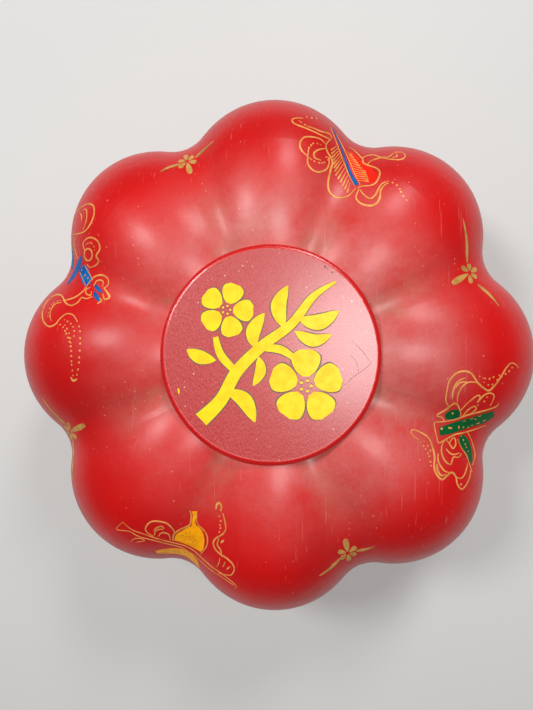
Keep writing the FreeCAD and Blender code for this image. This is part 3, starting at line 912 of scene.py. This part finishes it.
@dataclass
class FishDrum(Emblem):
    """A blue drum with two rods, wound about with ribbons."""

    turn: float = groove(3)

    def body(self) -> list[Stroke]:
        """The drum, its rods and its two feet."""
        pointed = (0.15, 0.8, 1.0, 0.8, 0.15)
        return [
            Stroke(((143.5, -16), (141.5, -9), (136.5, -1.5)), 5.0, pointed),
            Stroke(((129.5, -11), (130.5, -5), (132, 2), (133.5, 8)), 4.4, (0.45, 1.0, 1.0, 0.8, 0.3)),
            Stroke(((127, -5.5), (122, -1.5), (116.5, 3)), 7.6, (0.6, 0.95, 1.0, 0.9, 0.5)),
            Stroke(((112.5, 1.5), (109, 3), (105.5, 4)), 2.3, (0.5, 1.0, 0.9, 0.4)),
            Stroke(((110.5, 5.5), (107.5, 7.5), (104.5, 9)), 2.6, (0.3, 1.0, 0.9, 0.4)),
        ]

    def ribbons(self) -> list[Stroke]:
        """The gold ribbons and the frames of the feet."""
        line = self.line
        return [
            line((105.5, 1), (99.5, 4.5), (101.5, 7), (104.5, 4.5), width=1.1),
            line((105, 7.5), (103, 8.5), (104.5, 11), width=1.1),
            line((127, -2), (122, 1.5), (118, 4.5), width=0.5),
            line((125, -7), (120, -4), (115, -0.5), width=0.6),
            line((148, -27), (147.5, -33.5), (141, -38.5), (135.5, -41.5), (130, -41), (127, -36),
                 (127.5, -30), (130.5, -25.5), (136, -23), (144, -21.5)),
            line((138, -37.5), (135, -38), (132.5, -34.5), (131.5, -30), (132, -26), width=0.8),
            line((141, -35.5), (137.5, -33.5), (136, -30.5), width=0.7),
            line((144, -21.5), (144, -17), (140, -12), (135, -8), width=0.8, dashes=6),
            line((138.5, -22.5), (139.5, -17.5), (136.5, -12.5), (132.5, -9), width=0.8),
            line((127, -15), (129.5, -18.5), (127, -22), (123, -23.5), (118, -22.5), (115.5, -19),
                 (117, -14.5), (114.5, -12.5), (116, -9.5), (120, -7), (123, -8), width=0.9),
            ring(123.5, -13.5, 3.4, 0.85),
            line((127, -18.5), (123.5, -20.5), (120.5, -19.5), (119, -17), width=0.8, dashes=6),
            line((117.5, 4), (115.5, -1.5), (113, -4), (109.5, -5.5), (105.5, -5), (103.5, -2), (105, 1)),
            line((112.5, 2.5), (112, -1), (109, -2.5), (107, -1.5), (107, 1), width=0.8),
            line((114.5, 4), (116.5, 6.5), (114.5, 8.5), (111.5, 8), (112.5, 6), width=0.8),
            line((117, 4.5), (118, 8), (120, 12), (123, 15), (126, 17)),
            line((110, 8.5), (113, 11), (116.5, 11.5), (116.5, 14.5), (119.5, 18), (124.5, 18), (130.5, 15.5),
                 (136, 16.5), (140.5, 21.5), (139.5, 28), (134, 33), (127.5, 34.5), (123.5, 32), (122, 27.5),
                 (119.5, 23.5), (115, 22.5), (110.5, 24.5)),
            line((126.5, 17.5), (131.5, 19.5), (134, 23), (133.5, 26.5), (131, 30.5), width=0.7, dashes=8),
            line((127.5, 19), (131.5, 21.5), (132, 25.5), (130, 29), (127, 31), width=0.7),
            line((122.5, 30.5), (117.5, 31), (111.5, 35), (107, 39.5), (103, 48), (99.5, 55), dashes=14),
            line((110.5, 24.5), (106.5, 28), (103, 34), (100.5, 40.5), (98.5, 47), (97.5, 54.5), dashes=10),
            line((119, 27), (113, 27.5), (109.5, 30), (107.5, 34), dashes=6),
            line((117, 29.5), (112, 32.5), (107.5, 38), dashes=5),
            line((101, 55.5), (99, 57), (97, 55), width=1.2),
            dot(122, -1.5), dot(119, -0.5), dot(126, -3.5, 0.8),
        ]

    def build(self, brush: Brush, paints: dict[Slot, bpy.types.Material]) -> None:
        """Paint the drum."""
        brush.paint("drum_blue", self.body(), self.turn, paints[Slot.BLUE], Slot.BLUE, height=0.1, segments=6)
        brush.paint("drum_gold", self.ribbons(), self.turn, paints[Slot.GOLD], Slot.GOLD)


@dataclass
class Clappers(Emblem):
    """A pair of green clappers, with ribbons above and below."""

    turn: float = groove(-1)

    def boards(self) -> list[Stroke]:
        """The two green boards and the block between them."""
        return [
            Stroke(((105, -3.5), (111.5, 1), (120, 7.5), (126.5, 12.5), (132, 18)), 6.2,
                   (0.75, 0.95, 1.0, 1.0, 1.05, 0.65)),
            Stroke(((104.5, 5.5), (107.5, 8), (111.5, 10.5)), 5.6, (0.45, 0.95, 1.0, 0.8)),
            Stroke(((119, -1), (124, -5), (128.5, -9), (132.5, -14)), 6.0, (0.5, 1.0, 1.0, 0.75, 0.12)),
        ]

    def edges(self) -> list[Stroke]:
        """The gold edges and the marks on the boards."""
        line = self.line
        return [
            line((101, 1), (105.5, 3), (111, 6.5), (116, 11), (122, 15.5), (128, 20), (130.5, 22.5),
                 (130.5, 24.5), width=0.8),
            line((101, 1), (100, 0), (102, -3.5), (104.5, -7), (106.5, -9.5), (110, -6.5), (114.5, -2),
                 (119.5, 1), (125.5, 5), (132, 10), width=0.8),
            line((105, 3), (103, 4.5), (99.5, 4.5), (102.5, 9), (105.5, 14.5), (109.5, 13), (113, 9.5),
                 width=0.9),
            line((117.5, -3.5), (122, -7.5), (127, -10.5), (130.5, -14.5), (134, -18), width=0.6),
            line((121.5, 2.5), (125.5, 0), (130, -4), (134, -9), (133, -14.5), width=0.6),
            dot(107.5, 9), dot(105.5, -1.5, 1.5), dot(118, 4, 1.0), dot(121, 5, 1.0), dot(122.5, 11, 1.0),
            line((109, 0.5), (111.5, 1), width=1.0),
            line((115, 4), (115.5, 2), width=0.9),
            line((116, 7), (121, 11), (125.5, 15), width=0.4, dashes=3),
            line((122, 6.5), (126.5, 10), (129.5, 13.5), width=0.4, dashes=3),
            line((119, -1), (123.5, -4.5), (128, -8.5), width=0.7, dashes=5),
        ]

    def ribbons(self) -> list[Stroke]:
        """The ribbons."""
        line = self.line
        return [
            line((103.5, 11.5), (100, 14), (98, 18.5), (96.5, 24.5), (98, 29.5), (101.5, 32.5), (106, 33),
                 (111.5, 30), (116.5, 28.5), (120.5, 28.5), (122.5, 33), (123.5, 37.5), (124.5, 43.5),
                 (126.5, 47.5), (130, 48), (133, 47)),
            line((103, 16), (101, 20.5), (101, 26), (104, 29.5)),
            line((101.5, 22.5), (102.5, 26), (106, 28), width=0.8),
            line((106.5, 15.5), (104.5, 20), (105, 25.5), (107.5, 28.5), (111, 29.5), width=0.85),
            line((111, 33.5), (114.5, 33.5), (118.5, 35), (120, 38), dashes=4),
            line((115, 31.5), (118, 31), (121, 32.5), (122.5, 37), (121.5, 40), dashes=5),
            line((124, 38), (126, 41), (128, 44), (128.5, 46.5), dashes=4),
            line((111, 12.5), (112.5, 18), (115.5, 23.5), (117.5, 23), (117.5, 20), (119, 25), (122, 27.5),
                 (125, 27), (126, 23.5), (126, 21), width=0.75),
            line((114, 10), (115, 14.5), (117.5, 17.5), (119, 16), (117.5, 12), width=0.75),
            line((118.5, 18.5), (121, 21.5), (121.5, 25), (123, 24), width=0.9, dashes=3),
            line((94.5, -12), (89.5, -10.5), (89.5, -8), (96, -8), (100.5, -9.5), (104, -13.5),
                 (106.5, -17.5),
                 (108, -22.5), (111, -26), (115, -27.5), (117, -25), (119.5, -22), (123, -23.5), (125.5, -27),
                 (129.5, -29), (132, -25.5), (133, -20.5), (132.5, -17.5), width=1.0),
            line((95.5, -12.5), (99.5, -15), (103.5, -18.5), (106.5, -23.5), dashes=7),
            line((97.5, -11.5), (101, -13.5), (104.5, -16.5), width=1.1, dashes=3),
            line((108, -15), (109.5, -19), (114.5, -22.5), (119, -22.5), width=0.9),
            line((109, -20.5), (111, -24), (114, -25.5), (116.5, -24), width=1.0),
            line((123, -23.5), (126.5, -23.5), (128.5, -21), (129, -17), (129, -14.5), width=0.7),
            line((110, -6.5), (109, -10), (110, -14), (113.5, -17.5), (117.5, -18), (118, -14), (121.5, -13),
                 (123, -10.5), width=0.8),
            line((110, -6.5), (112, -7), (114.5, -8.5), (116.5, -9.5), (117.5, -6.5), (115, -3.5),
                 (113.5, -6), (113.5, -8), width=0.8),
            line((112, -11), (115, -12.5), (118, -12.5), (121.5, -10.5), width=0.75),
            dot(128, -26.5, 1.2),
        ]

    def build(self, brush: Brush, paints: dict[Slot, bpy.types.Material]) -> None:
        """Paint the clappers."""
        brush.paint("clappers_green", self.boards(), self.turn, paints[Slot.GREEN], Slot.GREEN,
                    height=0.1, segments=6)
        brush.paint("clappers_gold", self.edges() + self.ribbons(), self.turn, paints[Slot.GOLD], Slot.GOLD)


@dataclass
class Gourd(Emblem):
    """An amber gourd behind a staff, with a ribbon on each side."""

    turn: float = groove(-3)

    def body(self) -> list[Stroke]:
        """The gourd's neck, its body and the part of it below the staff."""
        return [
            Stroke(((100, -6), (102.5, -5), (106, -4.5), (110, -3)), 2.4, (1.2, 0.8, 0.8, 1.3)),
            Stroke(((108.5, -1.8), (111.5, -1.6), (116.5, -1.6), (121.5, -2.3), (124, -2.5)), 18.5,
                   (0.12, 0.55, 0.82, 0.98, 0.92)),
            Stroke(((137, -19), (134.5, -13.5), (132.5, -7.5), (132, -1.5), (134.5, 4), (139.5, 8.5)), 5.6,
                   (0.4, 0.85, 1.0, 1.0, 0.85, 0.2)),
        ]

    def outline(self) -> list[Stroke]:
        """The gourd's edge and the staff."""
        line = self.line
        return [
            line((124, -11.5), (119.5, -12.5), (114.5, -10), (110, -6), (105.5, -6.2), (102, -7.5),
                 (100.5, -8.5)),
            line((100, -4.5), (105, -3), (107.5, -1), (109.5, 3.5), (112.5, 6.5), (118, 8), (126, 6.5),
                 width=0.75),
            line((122, -42), (124.5, -35.5), (124.5, -28), (125, -19.5), (125.5, -11), (125.5, -3.5),
                 (126.5, 2.5), (128.5, 8), (129.5, 15), (129.5, 23), (132, 32.5), (135, 33), width=0.6),
            line((122, -42), (129, -44.5), (126.5, -37), (127.5, -30.5), (127, -21), (127.5, -11.5),
                 (128, -4.5), (129.5, 1), (131.5, 7), (132.5, 14), (132, 23.5), (133, 32), width=0.6),
        ]

    def ribbons(self) -> list[Stroke]:
        """The looped ribbon on one side, and the knotted one on the other."""
        line = self.line
        return [
            line((124, -23), (122.5, -27), (119.5, -28.5), (115, -27), (113, -23.5), (112.5, -18.5),
                 (114.5, -15), (117.5, -12.5), (123.5, -12), width=0.85),
            line((120.5, -23.5), (118, -23), (115.5, -20.5), (116.5, -18.5), width=0.7),
            line((123, -22.5), (119.5, -22.5), (117.5, -20), (117.5, -19), width=0.7),
            line((123, -20), (120.5, -19.5), (119.5, -17.5), (120, -15), (124, -13), width=0.7),
            line((93.5, 5), (90.5, 4.5), (89, 5.5), (90.5, 7.5), (93, 8), width=1.2),
            line((96, 8), (98, 10), (100.5, 10.5), (103.5, 12), (106, 11.5), dashes=5),
            line((93.5, 9.5), (96.5, 12), (101, 14.5), (105, 14), (109.5, 11.5), (113.5, 11), (116.5, 13.5),
                 (117.5, 17.5), (117.5, 21.5), (119, 26), (122, 28), (126.5, 27.5), (129, 24), (130.5, 20.5),
                 width=0.85),
            line((108.5, 13), (113, 13.5), (115, 16.5), (118.5, 18.5), width=0.7),
            line((108, 16), (110.5, 15), width=1.2),
            line((120, 18), (124, 18.5), (127.5, 18), width=0.5),
            line((120.5, 21.5), (124.5, 21.5), width=0.6),
            line((121.5, 25), (124.5, 24), width=0.8),
            line((134, -34.5), (130, -32.5), (128.5, -28.5), (129.5, -27), (132.5, -31), width=0.45),
        ]

    def seeds(self) -> list[Stroke]:
        """Small dark specks on the amber."""
        places = ((118, -7.5), (116, -6), (114.5, -4), (117.5, -3.5), (116, -1.5), (118, 0.5), (119.5, -2.5),
                  (120.5, -0.5), (132.5, -9), (131, -6.5), (133.5, -5), (131, -3), (133, -1))
        return [dot(outward, sideways, 0.7) for outward, sideways in places]

    def build(self, brush: Brush, paints: dict[Slot, bpy.types.Material], ink: bpy.types.Material) -> None:
        """Paint the gourd."""
        brush.paint("gourd_amber", self.body(), self.turn, paints[Slot.AMBER], Slot.AMBER, height=0.1,
                    segments=8)
        brush.paint("gourd_specks", self.seeds(), self.turn, ink, Slot.AMBER, height=0.16)
        brush.paint("gourd_gold", self.outline() + self.ribbons(), self.turn, paints[Slot.GOLD], Slot.GOLD)


@dataclass
class LeafSpray:
    """A small gold flower with two long blades of grass, on the shoulder of a groove."""

    name: str
    turn: float
    heart: Point
    tall_petal: Point
    blades: tuple[tuple[Point, Point], ...]
    petal: float = 6.4
    bare: float = 1.3

    PETALS = 6
    SHORT = 0.85  # every other petal, as a share of a long one

    def strokes(self) -> list[Stroke]:
        """The petals, the heart and the blades."""
        out, side = self.heart
        toward = math.atan2(self.tall_petal[1] - side, self.tall_petal[0] - out)
        made = []
        for index in range(self.PETALS):
            angle = toward + index * math.tau / self.PETALS
            reach = self.petal * (1.0 if index % 2 else self.SHORT)
            root = (out + self.bare * math.cos(angle), side + self.bare * math.sin(angle))
            tip = self.tall_petal
            if index:
                tip = (out + reach * math.cos(angle), side + reach * math.sin(angle))
            made.append(Stroke((root, tip), 3.4 if index == 0 else 2.9, (0.25, 0.6, 1.0, 1.0, 0.55)))
        for near, far in self.blades:
            middle = ((near[0] + far[0]) / 2 + 0.8, (near[1] + far[1]) / 2)
            made.append(Stroke((near, middle, far), 1.9, (0.35, 1.0, 0.9, 0.6, 0.2)))
        return made


LEAF_SPRAYS = (
    LeafSpray("spray_north", groove(2), (127, 2.5), (117, 3),
              (((127, 7), (124, 19)), ((127, -3), (130, -17)))),
    LeafSpray("spray_east", groove(0), (125, 0), (111, -2),
              (((126, 6), (131, 30)), ((126.5, -8), (131, -24)))),
    LeafSpray("spray_south", groove(-2), (125, -3), (115, -1),
              (((126, -8), (129, -23)), ((126, 2), (126, 13)))),
    LeafSpray("spray_west", groove(4), (134, -4), (119, -4),
              (((134, -9), (139, -29)), ((135, 1), (145, 24)))),
)


# ---------------------------------------------------------------- the medallion's ornament


@dataclass
class Blossom:
    """A five-petalled blossom with dots round its heart."""

    centre: Point
    reach: float
    turn: float

    PETALS = 5

    def petals(self) -> list[Stroke]:
        """The petals, each one broad stroke."""
        x, y = self.centre
        made = []
        for index in range(self.PETALS):
            angle = math.radians(self.turn + 360 / self.PETALS * index)
            along = (math.cos(angle), math.sin(angle))
            root, tip = ((x + r * along[0], y + r * along[1]) for r in (0.26 * self.reach, self.reach))
            made.append(Stroke((root, tip), 0.76 * self.reach, (0.26, 0.7, 1.0, 1.0, 0.5)))
        return made

    def stamens(self) -> list[Stroke]:
        """The dots."""
        x, y = self.centre
        out = 0.15 * self.reach
        angles = [turn * math.tau / self.PETALS for turn in range(self.PETALS)]
        return [dot(x + out * math.cos(a), y + out * math.sin(a), 0.09 * self.reach) for a in angles]


@dataclass
class BlossomBranch:
    """A flowering branch in broad yellow brush strokes, drawn with its X to the right and its Y upwards."""

    blossoms: tuple[Blossom, ...] = (
        Blossom((20, -17), 20, 90),
        Blossom((-24, 25), 15, 70),
    )
    outline: float = 1.3
    spill: float = 0.02

    def strokes(self) -> list[Stroke]:
        """The branch, its twigs, leaves and blossoms."""
        leaf = (0.1, 0.75, 1.0, 0.7, 0.1)
        made = [
            Stroke(((-38, -36), (-27, -25), (-18, -9), (-4, 5), (12, 17), (24, 32), (36, 40)), 7.4,
                   (1.15, 0.95, 0.9, 0.8, 0.7, 0.6, 0.2)),
            Stroke(((-18, -10), (-27, 0), (-30, 10)), 5.0, (0.7, 0.9, 0.6)),
            Stroke(((-4, 4), (6, 3), (14, -2)), 5.0, (0.7, 0.9, 0.6)),
            Stroke(((-46, 3), (-39, -1), (-30, -3)), 7.5, leaf),
            Stroke(((-24, -20), (-14, -25), (-8, -37)), 8.5, leaf),
            Stroke(((-8, 4), (-9, 13), (-3, 23)), 8.0, leaf),
            Stroke(((8, 15), (5, 27), (10, 38)), 8.5, leaf),
            Stroke(((16, 20), (27, 18), (38, 24)), 8.5, leaf),
            Stroke(((14, 13), (24, 8), (34, 11)), 7.0, leaf),
            Stroke(((-6, -1), (-5, -9), (-9, -17)), 6.0, leaf),
        ]
        for blossom in self.blossoms:
            made += blossom.petals() + blossom.stamens()
        return made

    def build(self, brush: Brush, surface: bpy.types.Object, yellow: bpy.types.Material,
              shade: bpy.types.Material) -> None:
        """Paint the branch over a slightly wider, thinner edge."""
        edge = [Stroke(s.points, s.width + self.outline, tuple(p + self.spill for p in s.pressures))
                for s in self.strokes()]
        brush.paint("branch_edge", edge, 0, shade, Slot.YELLOW, height=0.06, surface=surface)
        brush.paint("branch_yellow", self.strokes(), 0, yellow, Slot.YELLOW, height=0.3, segments=4,
                    surface=surface)


@dataclass
class BoardWear:
    """Age marks on the medallion: a cracked corner, a few chips and a stray fleck of yellow."""

    crack: float = 0.28

    def cracks(self) -> list[Stroke]:
        """Two fine cracks that meet near the edge, and a short one off the first."""
        return [
            Stroke(((41.5, -16.5), (46, -12), (51, -8.5), (55.5, -4.5)), self.crack),
            Stroke(((55.5, -4.5), (52, 0.5), (50, 3), (45.5, 7.5)), self.crack),
            Stroke(((49, -10), (47.5, -4), (43.5, 1)), self.crack * 0.7),
        ]

    def chips(self) -> list[Stroke]:
        """Chips in the lacquer."""
        return [dot(30.5, 48.5, 1.5), dot(34.5, 45.3, 1.1), dot(32, 47.6, 0.8), dot(-48, -27, 0.8)]

    def build(self, brush: Brush, surface: bpy.types.Object, dark: bpy.types.Material,
              yellow: bpy.types.Material) -> None:
        """Lay the marks on the medallion."""
        brush.paint("board_cracks", self.cracks() + self.chips(), 0, dark, Slot.MEDALLION, height=0.02,
                    surface=surface)
        fleck = Stroke(((-51, -18.6), (-50.7, -20), (-50.5, -21.6)), 1.0)
        brush.paint("board_fleck", [fleck], 0, yellow, Slot.YELLOW, height=0.08, surface=surface)


# ---------------------------------------------------------------- the studio


@dataclass
class Lamp:
    """A soft lamp, aimed at the lid from a direction."""

    name: str
    toward: tuple
    distance: float
    size: float
    power: float
    colour: tuple = (1.0, 1.0, 1.0)

    def build(self, target: Vector) -> bpy.types.Object:
        """Make the lamp."""
        data = bpy.data.lights.new(self.name, "AREA")
        data.shape, data.size, data.energy, data.color = "DISK", self.size, self.power, self.colour
        lamp = bpy.data.objects.new(self.name, data)
        bpy.context.scene.collection.objects.link(lamp)
        direction = Vector(self.toward).normalized()
        lamp.location = target + direction * self.distance
        lamp.rotation_euler = direction.to_track_quat("Z", "Y").to_euler()
        return lamp


@dataclass
class Studio:
    """Floor, lamps and camera."""

    seam: float
    camera_height: float = 0.3576
    camera_aside: float = 0.0144
    camera_yaw: float = 0.0547
    lens: float = 27.0
    sensor: float = 36.0
    floor_size: float = 6.0
    sky: tuple = (0.85, 0.9, 1.0, 1)
    sky_strength: float = 0.12
    lamps: tuple = (
        Lamp("lamp_left", (-0.47, 0.30, 0.82), 1.3, 0.34, 7.4),
        Lamp("lamp_back", (0.25, 0.70, 0.66), 1.3, 0.34, 5.8),
        Lamp("window", (0.165, 0.04, 0.985), 1.6, 0.50, 13.5),
    )

    def build(self) -> None:
        """Make all of it."""
        target = Vector((0, 0, self.seam))
        for lamp in self.lamps:
            lamp.build(target)
        self.build_floor()
        self.build_world()
        self.build_camera()

    def build_floor(self) -> None:
        """A plain, flat, pale floor."""
        bpy.ops.mesh.primitive_plane_add(size=self.floor_size, location=(0, 0, 0))
        floor = bpy.context.object
        floor.name = "floor"
        graph, body, material = shader("pale_floor", Roughness=0.75)
        tint = graph.noise(graph.place(), 3.0, 2.0)
        graph.feed(body, "Base Color", graph.blend(tint, (0.60, 0.59, 0.57, 1), (0.64, 0.63, 0.61, 1)))
        floor.data.materials.append(material)

    def build_world(self) -> None:
        """Soft even light from all round."""
        world = bpy.data.worlds.new("studio")
        world.use_nodes = True
        bpy.context.scene.world = world
        graph = Graph(world.node_tree)
        background = world.node_tree.nodes["Background"]
        graph.feed(background, "Color", self.sky)
        graph.feed(background, "Strength", self.sky_strength)

    def build_camera(self) -> None:
        """A camera close above the lid, looking down with +Y up in its picture."""
        data = bpy.data.cameras.new("camera")
        data.lens, data.sensor_width = self.lens, self.sensor
        data.clip_start, data.clip_end = 0.01, 50.0
        camera = bpy.data.objects.new("camera", data)
        bpy.context.scene.collection.objects.link(camera)
        camera.location = (self.camera_aside, 0, self.seam + self.camera_height)
        camera.rotation_euler = (0, self.camera_yaw, 0)
        bpy.context.scene.camera = camera


def dress(node: str, material: bpy.types.Material) -> None:
    """Give a CAD node its finish."""
    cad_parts[node].material_slots[0].material = material


def main() -> None:
    """Build everything."""
    logging.basicConfig(level=logging.INFO, format="%(message)s")
    bpy.context.scene.view_settings.view_transform = "Standard"
    seam = (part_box("bowl_rim")[1].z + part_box("lid_rim")[0].z) / 2
    effects = Effects()
    red = RedLacquer(seam=seam).build("red_lacquer", effects)
    for node in ("lid_shell", "lid_rim", "bowl_shell", "bowl_rim"):
        dress(node, red)
    dress("foot_ring", RedLacquer(has_inside=False).build("foot_lacquer", effects))
    dress("lid_medallion", MedallionLacquer().build("medallion_lacquer", effects))
    dark = DarkLacquer().build("dark_lacquer", effects)
    for node in ("bowl_lip", "bowl_floor"):
        dress(node, dark)
    paints = {slot: paint.build(effects) for slot, paint in PAINTS.items()}
    scarlet = Paint("scarlet_paint", (0.9, 0.01, 0.0, 1), (0.75, 0.01, 0.0, 1)).build(effects)
    ink = Paint("dark_specks", (0.10, 0.05, 0.02, 1), (0.2, 0.1, 0.03, 1)).build(effects)
    shade = Paint("branch_shade", (0.16, 0.09, 0.07, 1), (0.24, 0.13, 0.09, 1)).build(effects)
    brush = Brush(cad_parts["lid_shell"])
    FeatherFan().build(brush, paints, scarlet)
    FishDrum().build(brush, paints)
    Clappers().build(brush, paints)
    Gourd().build(brush, paints, ink)
    for spray in LEAF_SPRAYS:
        brush.paint(spray.name, spray.strokes(), spray.turn, paints[Slot.LEAF], Slot.LEAF, height=0.15,
                    segments=4)
    BlossomBranch().build(brush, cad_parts["lid_medallion"], paints[Slot.YELLOW], shade)
    BoardWear().build(brush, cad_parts["lid_medallion"], shade, paints[Slot.YELLOW])
    Studio(seam).build()


if __name__ == "__main__":
    main()
